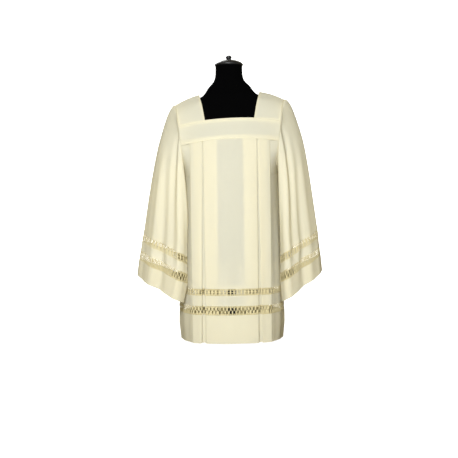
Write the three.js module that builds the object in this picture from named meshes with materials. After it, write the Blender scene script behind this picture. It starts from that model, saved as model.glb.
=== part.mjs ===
// Pleated surplice with a square neck, worn by a limbless dress form on a round base.
// Millimetres, +Z up, the front faces -Y, the origin is the centre of the base's underside.
import * as THREE from 'three';

// ---------------------------------------------------------------- driving sizes
const CLOTH = 1.6; // thickness of every cloth wall
const SEAM = 0.8; // gap at a seam, measured half way through the walls
const SIDE_SEAM = 1.1; // the same where the walls turn as they meet, at the sides
const LAYER = 4.4; // pitch of the layers that lie on each other in a pleat
const PIN = 0.3; // gap between the solids of the dress form
const MITRE = 0.65; // least cosine by which a wall's thickness is divided at a sharp fold

// Heights of the seams at the centre front
const LEVEL = {
  hem: 6,
  hemBend: 70,
  lowLaceBottom: 118,
  lowLaceTop: 154,
  highLaceBottom: 195,
  highLaceTop: 222,
  flare: 450,
  underarm: 665,
  yokeBottom: 806,
  yokeTop: 889,
};

// Plan of the body: half width at the side seam, depth at the centre of the front and of the
// back, and depth at the edge of the front panel
const BODY = [
  { z: 6, side: 210, front: 151, back: 147, edge: 119 },
  { z: 70, side: 216, front: 150, back: 146, edge: 118 },
  { z: 222, side: 213, front: 147, back: 143, edge: 117 },
  { z: 450, side: 204, front: 142, back: 139, edge: 114 },
  { z: 665, side: 196, front: 138, back: 135, edge: 111 },
  { z: 806, side: 192, front: 128, back: 126, edge: 109 },
  { z: 889, side: 202, front: 104, back: 104, edge: 98 },
];

// How far a seam at this height drops between the centre and DROP_WIDTH
const DROP_WIDTH = 192;
const DROP = [
  { z: 665, drop: 0 },
  { z: 806, drop: 22 },
  { z: 889, drop: 21 },
];

// Folds of one half of the front or back, from the centre to the side. The cloth runs to x in
// layer `from`, turns and goes on in layer `to`; layer 0 is the outermost. `gaps` is the number
// of lace gaps in the stretch that ends at the fold. After a `parted` fold the cloth hangs back
// behind the parting of the pleat.
const CENTRE_COLUMN = 49.2;
const CENTRE_GAPS = 7;
const FOLDS = [
  { name: 'box pleat, centre edge', yoke: 105.5, hem: 104, from: 0, to: 1, gaps: 4 },
  { name: 'box pleat, turn under the centre', yoke: 51, hem: 54, from: 1, to: 2, gaps: 0, parted: true },
  { name: 'box pleat, turn under the side', yoke: 145, hem: 144, from: 2, to: 1, gaps: 0 },
  { name: 'box pleat, side edge', yoke: 108.5, hem: 121, from: 1, to: 0, gaps: 0 },
  { name: 'edge of the front panel', yoke: 157, hem: 157, from: 0, to: 1, gaps: 3 },
  { name: 'turn under that edge', yoke: 151, hem: 151, from: 1, to: 2, gaps: 0 },
];
const PANEL_EDGE = 157; // x at which BODY's edge depth is measured
const CROWN = 2.2; // exponent of the curve across the front panel
const SIDE_GAPS = [2, 2, 3]; // lace gaps in the three stretches of a side panel
const SIDE_BEND = { across: 0.6, back: 0.3 }; // middle of the bend from front panel to side seam
const PARTING = { left: 1, right: 0.8 }; // how far the pleats have opened at the hem
const PARTED = { yoke: 107, hem: 112 }; // middle of the parting
const RECESS = 15; // how far the inmost layer hangs back at the hem where a pleat parts

// Armhole, top to underarm, right-hand side of the wearer's front. The three sets of rows lie
// on the shoulder piece, the yoke and the front panel.
const ARMHOLE_SHOULDER = [
  { x: 222, y: 0, z: 950 },
  { x: 214, y: 40, z: 937 },
  { x: 207, y: 72, z: 906 },
];
const ARMHOLE_YOKE = [
  { level: 889, x: 202, y: 90 },
  { level: 848, x: 197, y: 97 },
];
const ARMHOLE_PANEL = [
  { level: 806, x: 192, y: 99 },
  { level: 756, x: 186, y: 90 },
  { level: 712, x: 184, y: 70 },
  { level: 682, x: 188, y: 40 },
  { level: 665, x: 196, y: 0 },
];
const NECK_EDGE = [
  { x: 121, y: 0, z: 993 },
  { x: 114, y: 53, z: 967 },
  { x: 106, y: 77, z: 935 },
];
const NECK_CORNER_X = 97;
const SHOULDER_CELLS = 4;
const SHOULDER_CROWN = 5; // how far the shoulder piece bulges between neck and armhole

// Sleeve rings, armhole to cuff. `free` is the share of a ring that has left the armhole's
// shape; outer and inner are its two ends; left and right are the distance from the centre of
// the corner that hangs before the body, on each sleeve, and front is its depth.
const SLEEVE = [
  { free: 0.4, outerX: 246, outerZ: 941, innerZ: 652, left: 178, right: 186, front: 90, depth: 102, sag: 0 },
  { free: 0.8, outerX: 262, outerZ: 893, innerZ: 596, left: 174, right: 190, front: 87, depth: 109, sag: 0 },
  { free: 1, outerX: 287, outerZ: 800, innerZ: 530, left: 170, right: 190, front: 85, depth: 116, sag: -2 },
  { free: 1, outerX: 309, outerZ: 700, innerZ: 472, left: 169, right: 190, front: 84, depth: 120, sag: -4 },
  { free: 1, outerX: 329, outerZ: 585, innerZ: 414, left: 169, right: 190, front: 84, depth: 123, sag: -7 },
  { free: 1, outerX: 352, outerZ: 437, innerZ: 339, left: 169, right: 191, front: 84, depth: 125, sag: -9 },
  { free: 1, outerX: 357, outerZ: 407, innerZ: 309, left: 169, right: 191, front: 84, depth: 126, sag: -7 },
  { free: 1, outerX: 362, outerZ: 373, innerZ: 274, left: 169, right: 190, front: 84, depth: 126, sag: -4 },
  { free: 1, outerX: 368, outerZ: 337, innerZ: 239, left: 170, right: 189, front: 85, depth: 126, sag: 1 },
  { free: 1, outerX: 376, outerZ: 274, innerZ: 173, left: 187, right: 196, front: 88, depth: 122, sag: 11 },
];
// Rings of SLEEVE, counted with the armhole as ring 0, at which each band of the sleeve starts
const SLEEVE_BANDS = { highLace: 6, middle: 7, lowLace: 8, cuff: 9, end: 10 };
const SLEEVE_PLAN = { shoulderX: 0.1, shoulderY: 0.4, frontX: 0.78 };
const SLEEVE_POINTS = 36;
const SLEEVE_CLEAR = 7; // distance that the sleeve keeps from the body's side
const FOLD_START = 0.35; // height of a sleeve's folds at its first ring, as a share of the cuff's
// How far the sleeve's seam lies off the armhole, and from how far in it is pushed straight out
const ARMHOLE_LAP = { top: 0.5, side: 1.9, from: 120 };
// Differences between the two hands: how far the sleeve's outer edge stands out at its head,
// how far it reaches and lifts at the cuff, and how far the body's side seam swings out between
// LEVEL.flare and the hem
const HAND = {
  left: { sign: -1, head: -4, reach: 8, lift: -5, flare: 0 },
  right: { sign: 1, head: 7, reach: -8, lift: 5, flare: -2 },
};
// The form's left shoulder is the higher one: how much, and where the rise starts and ends
const RISE = { height: 16, from: -100, to: 190, level: [480, 860], neck: [1000, 1090] };

// Soft folds of a sleeve: place round it (0 outer edge, 0.25 front, 0.5 inner edge, 0.75 back),
// height at the cuff (a trough is negative), half width as a share of the ring
const SLEEVE_FOLDS = [
  { at: 0.05, left: -4, right: -3, width: 0.035 },
  { at: 0.13, left: 8, right: 5, width: 0.04 },
  { at: 0.19, left: -7, right: -7, width: 0.035 },
  { at: 0.285, left: 5, right: 5, width: 0.035 },
  { at: 0.37, left: -4, right: -4, width: 0.03 },
  { at: 0.63, left: -6, right: -6, width: 0.035 },
  { at: 0.72, left: 7, right: 8, width: 0.045 },
  { at: 0.82, left: -7, right: -5, width: 0.04 },
  { at: 0.91, left: 5, right: 6, width: 0.035 },
];

// Lace gaps as shares of the cell that holds one: width at the foot and at the head, height
const LADDER_GAP = { foot: 0.64, head: 0.64, bottom: 0.2, top: 0.8 };
const ZIGZAG_GAP = { foot: 0.76, head: 0.42, bottom: 0.16, top: 0.84 };

// Dress form: half width, depth to the front and to the back at each height
const TORSO = [
  { z: 308, side: 170, front: 104, back: 104 },
  { z: 330, side: 178, front: 110, back: 110 },
  { z: 450, side: 182, front: 113, back: 112 },
  { z: 620, side: 160, front: 99, back: 96 },
  { z: 780, side: 176, front: 110, back: 108 },
  { z: 850, side: 184, front: 101, back: 101 },
  { z: 905, side: 192, front: 84, back: 84 },
  { z: 935, side: 188, front: 72, back: 72 },
  { z: 955, side: 174, front: 60, back: 60 },
  { z: 971, side: 150, front: 52, back: 52 },
  { z: 984, side: 113, front: 48, back: 48 },
  { z: 1000, side: 97, front: 50, back: 52 },
  { z: 1020, side: 84, front: 51, back: 53 },
  { z: 1044, side: 63, front: 51, back: 53 },
  { z: 1070, side: 55, front: 52, back: 53 },
  { z: 1107, side: 54, front: 53, back: 53 },
];
const TORSO_POINTS = 28;
const TORSO_SQUARENESS = 2.5;
const CAP_PROFILE = [
  { r: 54, z: 1107.3 },
  { r: 57, z: 1110 },
  { r: 57, z: 1114 },
  { r: 49, z: 1121 },
  { r: 31, z: 1128 },
  { r: 13, z: 1132 },
  { r: 9, z: 1135 },
  { r: 12, z: 1139 },
  { r: 11, z: 1145 },
  { r: 6, z: 1149 },
];
const POLE_RADIUS = 16;
const BASE = { radius: 118, height: 12, bevel: 3 };
const TURNED_POINTS = { cap: 18, pole: 16, base: 32 };

// Colours
const IVORY = { color: 0xf2ecd6, roughness: 0.85, metalness: 0 };
const LACE = { color: 0xe6dcb8, roughness: 0.9, metalness: 0 };
const BLACK_JERSEY = { color: 0x0c0c0e, roughness: 0.9, metalness: 0 };
const BLACK_PAINT = { color: 0x151517, roughness: 0.45, metalness: 0.3 };

// ---------------------------------------------------------------- small helpers
const mix = THREE.MathUtils.lerp;
const vector = (x, y, z) => new THREE.Vector3(x, y, z);

/** Value of one column of a table at a height, straight between its rows. */
function valueAt(table, column, z) {
  if (z <= table[0].z) return table[0][column];
  const above = table.findIndex((row) => row.z >= z);
  if (above < 0) return table[table.length - 1][column];
  const [low, high] = [table[above - 1], table[above]];
  return mix(low[column], high[column], (z - low.z) / (high.z - low.z));
}

/** Height of a seam of the body at distance x from the centre. */
function seamHeight(level, x) {
  return level - valueAt(DROP, 'drop', level) * (x / DROP_WIDTH) ** 2;
}

/** Six times the volume inside a closed indexed geometry. */
function signedVolume(positions, index) {
  const [a, b, c] = [vector(), vector(), vector()];
  let sum = 0;
  for (let i = 0; i < index.length; i += 3) {
    a.fromArray(positions, index[i] * 3);
    b.fromArray(positions, index[i + 1] * 3);
    c.fromArray(positions, index[i + 2] * 3);
    sum += a.dot(b.cross(c));
  }
  return sum;
}

/** A point moved up with the higher shoulder. */
function raised({ x, y, z }) {
  const { smoothstep } = THREE.MathUtils;
  const across = Math.max(0, (x - RISE.from) / (RISE.to - RISE.from));
  const share = across < 1 ? across ** 2 : 1 + 0.25 * (1 - Math.exp(8 * (1 - across)));
  const below = smoothstep(z, ...RISE.level) * (1 - smoothstep(z, ...RISE.neck));
  return vector(x, y, z + RISE.height * share * below);
}

/** Closed geometry from points and triangles, turned so that its faces point out. */
function closedGeometry(points, index) {
  const positions = points.flatMap((point) => raised(point).toArray());
  if (signedVolume(positions, index) < 0) {
    for (let i = 0; i < index.length; i += 3) [index[i], index[i + 1]] = [index[i + 1], index[i]];
  }
  const geometry = new THREE.BufferGeometry();
  geometry.setAttribute('position', new THREE.Float32BufferAttribute(positions, 3));
  geometry.setIndex(index);
  return geometry;
}

// ---------------------------------------------------------------- cloth walls
/** Moves the rim of a grid of points inwards by half a seam. */
function seamed(grid, closed) {
  const inset = (from, to, seam = SEAM) =>
    from.clone().add(to.clone().sub(from).setLength(seam / 2));
  const rows = grid.map((row) => row.map((point) => point.clone()));
  const last = grid.length - 1;
  rows[0] = grid[0].map((point, c) => inset(point, grid[1][c]));
  rows[last] = grid[last].map((point, c) => inset(point, grid[last - 1][c]));
  if (closed) return rows;
  return rows.map((row) => {
    const end = row.length - 1;
    return row.map((point, c) => {
      if (c === 0) return inset(point, row[1], SIDE_SEAM);
      return c === end ? inset(point, row[end - 1], SIDE_SEAM) : point;
    });
  });
}

/** Direction and length in which a wall's face lies from its middle, for a unit of thickness. */
function offsetAt(grid, r, c, closed) {
  const columns = grid[0].length;
  const at = (row, column) => grid[row][(column + columns) % columns];
  const along = at(Math.min(r + 1, grid.length - 1), c).clone().sub(at(Math.max(r - 1, 0), c));
  const sides = [];
  if (closed || c > 0) sides.push(at(r, c).clone().sub(at(r, c - 1)));
  if (closed || c < columns - 1) sides.push(at(r, c + 1).clone().sub(at(r, c)));
  const normals = sides.map((side) => side.cross(along).normalize());
  const normal = normals.reduce((sum, each) => sum.add(each), vector(0, 0, 0)).normalize();
  return normal.divideScalar(Math.max(normal.dot(normals[normals.length - 1]), MITRE));
}

/** The outline of one lace gap in a cell, as shares across and up the cell. */
function gapOutline(number, count, gap) {
  const [centre, half] = [(number + 0.5) / count, 0.5 / count];
  return [
    [centre - half * gap.foot, gap.bottom],
    [centre + half * gap.foot, gap.bottom],
    [centre + half * gap.head, gap.top],
    [centre - half * gap.head, gap.top],
  ];
}

/**
 * Triangles of a cell with gaps, by the numbers of its points: 0 to 3 are the cell's corners,
 * anticlockwise from the lower left, and each gap has four more in the same order.
 */
function lacedTriangles(count) {
  const gaps = Array.from({ length: count }, (_, i) => 4 + 4 * i);
  const foot = gaps.flatMap((first) => [first, first + 1]);
  const head = gaps.flatMap((first) => [first + 3, first + 2]);
  const triangles = [];
  const quad = (a, b, c, d) => triangles.push([a, b, c], [a, c, d]);
  const rail = (start, end, edge) => {
    const middle = edge.length / 2;
    for (let i = 0; i < edge.length - 1; i += 1) {
      triangles.push([i < middle ? start : end, edge[i + 1], edge[i]]);
    }
    triangles.push([start, end, edge[middle]]);
  };
  rail(0, 1, foot);
  rail(2, 3, head.slice().reverse());
  quad(0, foot[0], head[0], 3);
  quad(foot[foot.length - 1], 1, 2, head[head.length - 1]);
  for (let i = 1; i < foot.length - 1; i += 2) quad(foot[i], foot[i + 1], head[i + 1], head[i]);
  return triangles;
}

/**
 * A cloth wall through a grid of points: rows up or along the piece, columns across it.
 * lace.gaps[c] gaps of the form lace.form go through the cells after column c.
 */
function clothWall(grid, { closed = false, lace = null } = {}) {
  const [rows, columns] = [grid.length, grid[0].length];
  const cells = closed ? columns : columns - 1;
  const [outside, inside] = [0.5, -0.5].map((side) => grid.map((row, r) => row.map((point, c) =>
    point.clone().addScaledVector(offsetAt(grid, r, c, closed), side * CLOTH))));
  const points = [...outside.flat(), ...inside.flat()];
  const outer = (r, c) => r * columns + (c % columns);
  const inner = (r, c) => rows * columns + outer(r, c);
  const index = [];
  const quad = (a, b, c, d) => index.push(a, b, c, a, c, d);

  /** Adds the points of a gap to one face of a cell and returns their numbers. */
  const gapPoints = (face, r, c, outline) => outline.map(([across, up]) => {
    const low = face[r][c].clone().lerp(face[r][(c + 1) % columns], across);
    const high = face[r + 1][c].clone().lerp(face[r + 1][(c + 1) % columns], across);
    return points.push(low.lerp(high, up)) - 1;
  });

  const lacedCell = (r, c) => {
    const count = lace.gaps[c];
    const outlines = Array.from({ length: count }, (_, i) => gapOutline(i, count, lace.form));
    const [front, back] = [[outside, outer], [inside, inner]].map(([face, at]) => [
      at(r, c), at(r, c + 1), at(r + 1, c + 1), at(r + 1, c),
      ...outlines.flatMap((outline) => gapPoints(face, r, c, outline)),
    ]);
    lacedTriangles(count).forEach(([i, j, k]) =>
      index.push(front[i], front[j], front[k], back[i], back[k], back[j]));
    for (let i = 4; i < front.length; i += 1) {
      const next = i % 4 === 3 ? i - 3 : i + 1;
      quad(front[i], front[next], back[next], back[i]);
    }
  };

  for (let c = 0; c < cells; c += 1) {
    for (let r = 0; r < rows - 1; r += 1) {
      if (lace && lace.gaps[c] > 0) lacedCell(r, c);
      else {
        quad(outer(r, c), outer(r, c + 1), outer(r + 1, c + 1), outer(r + 1, c));
        quad(inner(r, c), inner(r + 1, c), inner(r + 1, c + 1), inner(r, c + 1));
      }
    }
    quad(inner(0, c), inner(0, c + 1), outer(0, c + 1), outer(0, c));
    quad(outer(rows - 1, c), outer(rows - 1, c + 1), inner(rows - 1, c + 1), inner(rows - 1, c));
  }
  for (let r = 0; r < rows - 1 && !closed; r += 1) {
    quad(outer(r, 0), outer(r + 1, 0), inner(r + 1, 0), inner(r, 0));
    quad(inner(r, cells), inner(r + 1, cells), outer(r + 1, cells), outer(r, cells));
  }
  return closedGeometry(points, index);
}

// ---------------------------------------------------------------- body of the surplice
/** Where a row of the body ends: the side seam, or the armhole above the underarm. */
function sideEnd(level, hand) {
  if (level <= LEVEL.underarm) {
    const swing = Math.max(0, (LEVEL.flare - level) / (LEVEL.flare - LEVEL.hem));
    return { x: valueAt(BODY, 'side', level) + HAND[hand].flare * swing, y: 0 };
  }
  return [...ARMHOLE_YOKE, ...ARMHOLE_PANEL].find((row) => row.level === level);
}

/** Depth of the outermost layer of the front or back at distance x from the centre. */
function panelDepth(level, x, face) {
  const centre = valueAt(BODY, face, level);
  return centre - (centre - valueAt(BODY, 'edge', level)) * (x / PANEL_EDGE) ** CROWN;
}

/** The three corners of the bend from the front panel round to the side. */
function sideBend(level, face, hand) {
  const turn = FOLDS[FOLDS.length - 1];
  const end = sideEnd(level, hand);
  const start = { x: turn.yoke, y: panelDepth(level, turn.yoke, face) - turn.to * LAYER };
  const middle = {
    x: mix(start.x, end.x, SIDE_BEND.across),
    y: mix(start.y, end.y, SIDE_BEND.back),
  };
  return [start, middle, end];
}

/** Point on the bend of sideBend, share 0 to 1. */
function onBend([start, middle, end], share) {
  const blend = (axis) => mix(
    mix(start[axis], middle[axis], share), mix(middle[axis], end[axis], share), share);
  return { x: blend('x'), y: blend('y') };
}

/** Half a row of the pleated body, from the centre to the side: x, and depth from the centre. */
function pleatedHalf(level, face, hand) {
  const down = (LEVEL.yokeBottom - level) / (LEVEL.yokeBottom - LEVEL.hem);
  const points = [{ x: CENTRE_COLUMN, y: panelDepth(level, CENTRE_COLUMN, face) }];
  FOLDS.forEach((fold) => {
    const x = mix(fold.yoke, fold.hem, down * PARTING[hand]);
    const depth = panelDepth(level, x, face);
    points.push({ x, y: depth - fold.from * LAYER }, { x, y: depth - fold.to * LAYER });
    if (fold.parted) {
      const open = down * PARTING[hand];
      const middle = mix(PARTED.yoke, PARTED.hem, open);
      const layers = fold.to * LAYER;
      points.push({ x: middle, y: panelDepth(level, middle, face) - layers - RECESS * open });
    }
  });
  const bend = sideBend(level, face, hand);
  SIDE_GAPS.forEach((_, i) => points.push(onBend(bend, (i + 1) / SIDE_GAPS.length)));
  return points;
}

/** A whole row of the pleated body, left to right. */
function pleatedRow(level, face) {
  const depthSign = face === 'front' ? -1 : 1;
  const place = (half, sign) => half.map(({ x, y }) =>
    vector(sign * x, depthSign * y, seamHeight(level, x)));
  const left = place(pleatedHalf(level, face, 'left'), HAND.left.sign).reverse();
  const right = place(pleatedHalf(level, face, 'right'), HAND.right.sign);
  return [...left, ...right];
}

const pleatedPiece = (levels, face) =>
  clothWall(seamed(levels.map((level) => pleatedRow(level, face)), false));

const pleatedLace = (bottom, top, face, gap) => {
  const half = [...FOLDS.flatMap((fold) => [fold.gaps, 0, ...(fold.parted ? [0] : [])]), ...SIDE_GAPS];
  const gaps = [...half.slice().reverse(), CENTRE_GAPS, ...half];
  const grid = seamed([pleatedRow(bottom, face), pleatedRow(top, face)], false);
  return clothWall(grid, { lace: { gaps, form: gap } });
};

/** A point of the yoke: no pleats, one smooth curve from armhole to armhole. */
function yokePoint(level, x, face) {
  const end = sideEnd(level);
  const centre = valueAt(BODY, face, level);
  const depth = centre - (centre - end.y) * (Math.abs(x) / end.x) ** CROWN;
  return vector(x, face === 'front' ? -depth : depth, seamHeight(level, x));
}

const YOKE_COLUMNS = [-1, -0.82, -0.65, -0.48, -0.24, 0, 0.24, 0.48, 0.65, 0.82, 1];

function yokePiece(face) {
  const levels = [LEVEL.yokeBottom, ARMHOLE_YOKE[1].level, LEVEL.yokeTop];
  const grid = levels.map((level) =>
    YOKE_COLUMNS.map((share) => yokePoint(level, share * sideEnd(level).x, face)));
  return clothWall(seamed(grid, false));
}

/** One row of a shoulder piece, neck to armhole, at a step from the top down to the yoke. */
function shoulderRow(step, sign, face) {
  const ySign = face === 'front' ? -1 : 1;
  return Array.from({ length: SHOULDER_CELLS + 1 }, (_, i) => {
    const share = i / SHOULDER_CELLS;
    if (step === NECK_EDGE.length) {
      const x = mix(NECK_CORNER_X, sideEnd(LEVEL.yokeTop).x, share);
      return yokePoint(LEVEL.yokeTop, sign * x, face);
    }
    const [neck, arm] = [NECK_EDGE[step], ARMHOLE_SHOULDER[step]];
    const crown = SHOULDER_CROWN * 4 * share * (1 - share);
    const turned = step / NECK_EDGE.length;
    return vector(
      sign * mix(neck.x, arm.x, share),
      ySign * (mix(neck.y, arm.y, share) + crown * turned),
      mix(neck.z, arm.z, share) + crown * (1 - turned),
    );
  });
}

function shoulderPiece(sign) {
  const steps = NECK_EDGE.map((_, i) => i);
  const toTop = [NECK_EDGE.length, ...steps.slice().reverse()];
  const fromTop = [...steps.slice(1), NECK_EDGE.length];
  const front = toTop.map((i) => shoulderRow(i, sign, 'front'));
  const back = fromTop.map((i) => shoulderRow(i, sign, 'back'));
  return clothWall(seamed([...front, ...back], false));
}

// ---------------------------------------------------------------- sleeves
/** The right armhole as a closed ring of SLEEVE_POINTS points: top, front, underarm, back. */
function armholeRing() {
  const onBody = [...ARMHOLE_YOKE, ...ARMHOLE_PANEL].map(({ level, x, y }) =>
    ({ x, y, z: seamHeight(level, x) }));
  const corners = [...ARMHOLE_SHOULDER, ...onBody];
  const halfCount = SLEEVE_POINTS / 2;
  const perCell = halfCount / (corners.length - 1);
  const place = (i, ySign) => {
    const cell = Math.min(Math.floor(i / perCell), corners.length - 2);
    const share = i / perCell - cell;
    const [from, to] = [corners[cell], corners[cell + 1]];
    const y = mix(from.y, to.y, share);
    const turnedDown = THREE.MathUtils.smoothstep(i, 0, perCell * ARMHOLE_SHOULDER.length);
    const lap = mix(ARMHOLE_LAP.top, ARMHOLE_LAP.side, turnedDown);
    const away = vector(1, (ySign * y) / ARMHOLE_LAP.from, 0).setLength(lap);
    return vector(mix(from.x, to.x, share) + away.x, ySign * y + away.y, mix(from.z, to.z, share));
  };
  const front = Array.from({ length: halfCount + 1 }, (_, i) => place(i, -1));
  const back = Array.from({ length: halfCount - 1 }, (_, i) => place(halfCount - 1 - i, 1));
  return [...front, ...back];
}

/** Distance from the centre to the body's side at this height and depth, or 0 beside it. */
function bodyReach(z, y, hand) {
  const level = Math.min(z, LEVEL.underarm);
  const bend = sideBend(level, 'front', hand);
  if (z > LEVEL.underarm || Math.abs(y) > bend[0].y) return 0;
  let [low, high] = [0, 1];
  for (let i = 0; i < 20; i += 1) {
    const share = (low + high) / 2;
    if (onBend(bend, share).y > Math.abs(y)) low = share;
    else high = share;
  }
  return onBend(bend, low).x;
}

/** Height of the soft folds at a place round the sleeve. */
function foldHeight(around, hand) {
  return SLEEVE_FOLDS.reduce((sum, fold) => {
    const away = Math.abs(around - fold.at) / fold.width;
    return sum + fold[hand] * Math.exp(-away * away);
  }, 0);
}

/** One free ring of a sleeve, outer edge first, then front, inner edge and back. */
function sleeveRing(row, down, hand) {
  const outerX = row.outerX + mix(HAND[hand].head, HAND[hand].reach, down);
  const cornerX = row[hand];
  const width = outerX - cornerX;
  const inner = { x: bodyReach(row.innerZ, 0, hand) + SLEEVE_CLEAR, y: 0 };
  const half = [
    { x: outerX, y: 0 },
    { x: outerX - SLEEVE_PLAN.shoulderX * width, y: SLEEVE_PLAN.shoulderY * row.depth },
    { x: outerX - SLEEVE_PLAN.frontX * width, y: row.depth },
    { x: cornerX, y: row.front },
  ];
  const front = half.map(({ x, y }) => vector(x, -y, 0));
  const back = half.slice(1).reverse().map(({ x, y }) => vector(x, y, 0));
  const plan = new THREE.CatmullRomCurve3([...front, vector(inner.x, 0, 0), ...back], true);
  return Array.from({ length: SLEEVE_POINTS }, (_, i) => {
    const around = i / SLEEVE_POINTS;
    const point = plan.getPointAt(around);
    const tangent = plan.getTangentAt(around);
    const rise = (point.x - cornerX) / width;
    const sag = row.sag * Math.abs(point.y) / row.depth;
    const fold = foldHeight(around, hand) * row.free * mix(FOLD_START, 1, down);
    point.addScaledVector(vector(-tangent.y, tangent.x, 0), fold);
    point.z = mix(row.innerZ, row.outerZ + HAND[hand].lift * down, rise) - sag;
    return point;
  });
}

/** All rings of a sleeve, the armhole first. */
function sleeveRings(hand) {
  const { sign } = HAND[hand];
  const armhole = armholeRing();
  const free = SLEEVE.map((row, i) => {
    const ring = sleeveRing(row, (i + 1) / SLEEVE.length, hand);
    return ring.map((point, j) => {
      const placed = armhole[j].clone().lerp(point, row.free);
      const reach = bodyReach(placed.z, placed.y, hand);
      if (reach > 0) placed.x = Math.max(placed.x, reach + SLEEVE_CLEAR * row.free);
      return placed;
    });
  });
  return [armhole, ...free].map((ring) =>
    ring.map((point) => vector(sign * point.x, point.y, point.z)));
}

/** Part of a sleeve between two rings, as a tube. */
const sleeveTube = (rings, from, to) =>
  clothWall(seamed(rings.slice(from, to + 1), true), { closed: true });

/** Front or back half of a band of lace round a sleeve. */
function sleeveLace(rings, ring, face, gap) {
  const half = SLEEVE_POINTS / 2;
  const start = face === 'front' ? 0 : half;
  const grid = [rings[ring + 1], rings[ring]].map((points) =>
    Array.from({ length: half + 1 }, (_, i) => points[(start + i) % SLEEVE_POINTS]));
  return clothWall(seamed(grid, false), { lace: { gaps: Array(half).fill(1), form: gap } });
}

// ---------------------------------------------------------------- dress form
/** One ring of the torso: a squared ellipse. */
function torsoRing({ z, side, front, back }) {
  const power = 2 / TORSO_SQUARENESS;
  return Array.from({ length: TORSO_POINTS }, (_, i) => {
    const angle = (2 * Math.PI * i) / TORSO_POINTS;
    const [c, s] = [Math.cos(angle), Math.sin(angle)];
    const depth = s > 0 ? back : front;
    const squared = (value) => Math.sign(value) * Math.abs(value) ** power;
    return vector(side * squared(c), depth * squared(s), z);
  });
}

/** The torso and its neck: rings joined by skin, closed flat at both ends. */
function torsoGeometry() {
  const rings = TORSO.map(torsoRing);
  const points = rings.flat();
  const index = [];
  const at = (r, c) => r * TORSO_POINTS + (c % TORSO_POINTS);
  for (let r = 0; r < rings.length - 1; r += 1) {
    for (let c = 0; c < TORSO_POINTS; c += 1) {
      const [low, high] = [at(r, c), at(r + 1, c + 1)];
      index.push(low, at(r, c + 1), high, low, high, at(r + 1, c));
    }
  }
  const last = rings.length - 1;
  for (let c = 1; c < TORSO_POINTS - 1; c += 1) {
    index.push(at(0, 0), at(0, c + 1), at(0, c), at(last, 0), at(last, c), at(last, c + 1));
  }
  return closedGeometry(points, index);
}

/** A solid of revolution about +Z from rows of radius and height, closed on the axis. */
function turned(rows, segments) {
  const ends = [{ r: 0, z: rows[0].z }, ...rows, { r: 0, z: rows[rows.length - 1].z }];
  const profile = ends.map(({ r, z }) => new THREE.Vector2(r, z));
  return new THREE.LatheGeometry(profile, segments).rotateX(Math.PI / 2);
}

const poleRows = () => [
  { r: POLE_RADIUS, z: BASE.height + PIN },
  { r: POLE_RADIUS, z: TORSO[0].z - PIN },
];

const baseRows = () => [
  { r: BASE.radius, z: 0 },
  { r: BASE.radius, z: BASE.height - BASE.bevel },
  { r: BASE.radius - BASE.bevel, z: BASE.height },
];

// ---------------------------------------------------------------- the object
const surplice = new THREE.Group();

function add(name, geometry, finish) {
  const mesh = new THREE.Mesh(geometry, new THREE.MeshStandardMaterial(finish));
  mesh.name = name;
  surplice.add(mesh);
}

add('form_torso', torsoGeometry(), BLACK_JERSEY);
add('form_cap', turned(CAP_PROFILE, TURNED_POINTS.cap), BLACK_PAINT);
add('form_pole', turned(poleRows(), TURNED_POINTS.pole), BLACK_PAINT);
add('form_base', turned(baseRows(), TURNED_POINTS.base), BLACK_PAINT);

const PANEL_LEVELS = [
  LEVEL.highLaceTop, 330, 440, 550,
  ...ARMHOLE_PANEL.map((row) => row.level).reverse(),
];

['front', 'back'].forEach((face) => {
  add(`yoke_${face}`, yokePiece(face), IVORY);
  add(`panel_${face}`, pleatedPiece(PANEL_LEVELS, face), IVORY);
  add(`lace_high_${face}`,
    pleatedLace(LEVEL.highLaceBottom, LEVEL.highLaceTop, face, LADDER_GAP), LACE);
  add(`band_${face}`, pleatedPiece([LEVEL.lowLaceTop, LEVEL.highLaceBottom], face), IVORY);
  add(`lace_low_${face}`,
    pleatedLace(LEVEL.lowLaceBottom, LEVEL.lowLaceTop, face, ZIGZAG_GAP), LACE);
  add(`hem_${face}`, pleatedPiece([LEVEL.hem, LEVEL.hemBend, LEVEL.lowLaceBottom], face), IVORY);
});

['left', 'right'].forEach((hand) => {
  const rings = sleeveRings(hand);
  const { highLace, middle, lowLace, cuff, end } = SLEEVE_BANDS;
  add(`shoulder_${hand}`, shoulderPiece(HAND[hand].sign), IVORY);
  add(`sleeve_${hand}`, sleeveTube(rings, 0, highLace), IVORY);
  ['front', 'back'].forEach((face) => {
    add(`sleeve_lace_high_${hand}_${face}`, sleeveLace(rings, highLace, face, LADDER_GAP), LACE);
    add(`sleeve_lace_low_${hand}_${face}`, sleeveLace(rings, lowLace, face, ZIGZAG_GAP), LACE);
  });
  add(`sleeve_band_${hand}`, sleeveTube(rings, middle, lowLace), IVORY);
  add(`cuff_${hand}`, sleeveTube(rings, cuff, end), IVORY);
});

export default surplice;
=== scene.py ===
"""Pleated square-necked surplice on a limbless dress form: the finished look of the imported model.

Sizes are in millimetres, as in the part's source, and turned into metres where a mesh is made.
The cloth's plan, folds, seams and sleeve rings are the part's own, drawn here with more points,
rounded folds, soft creases, real lace threads, seam allowances and stitches.
"""
import math

import bpy
import numpy as np
from mathutils import Matrix, Vector


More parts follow.
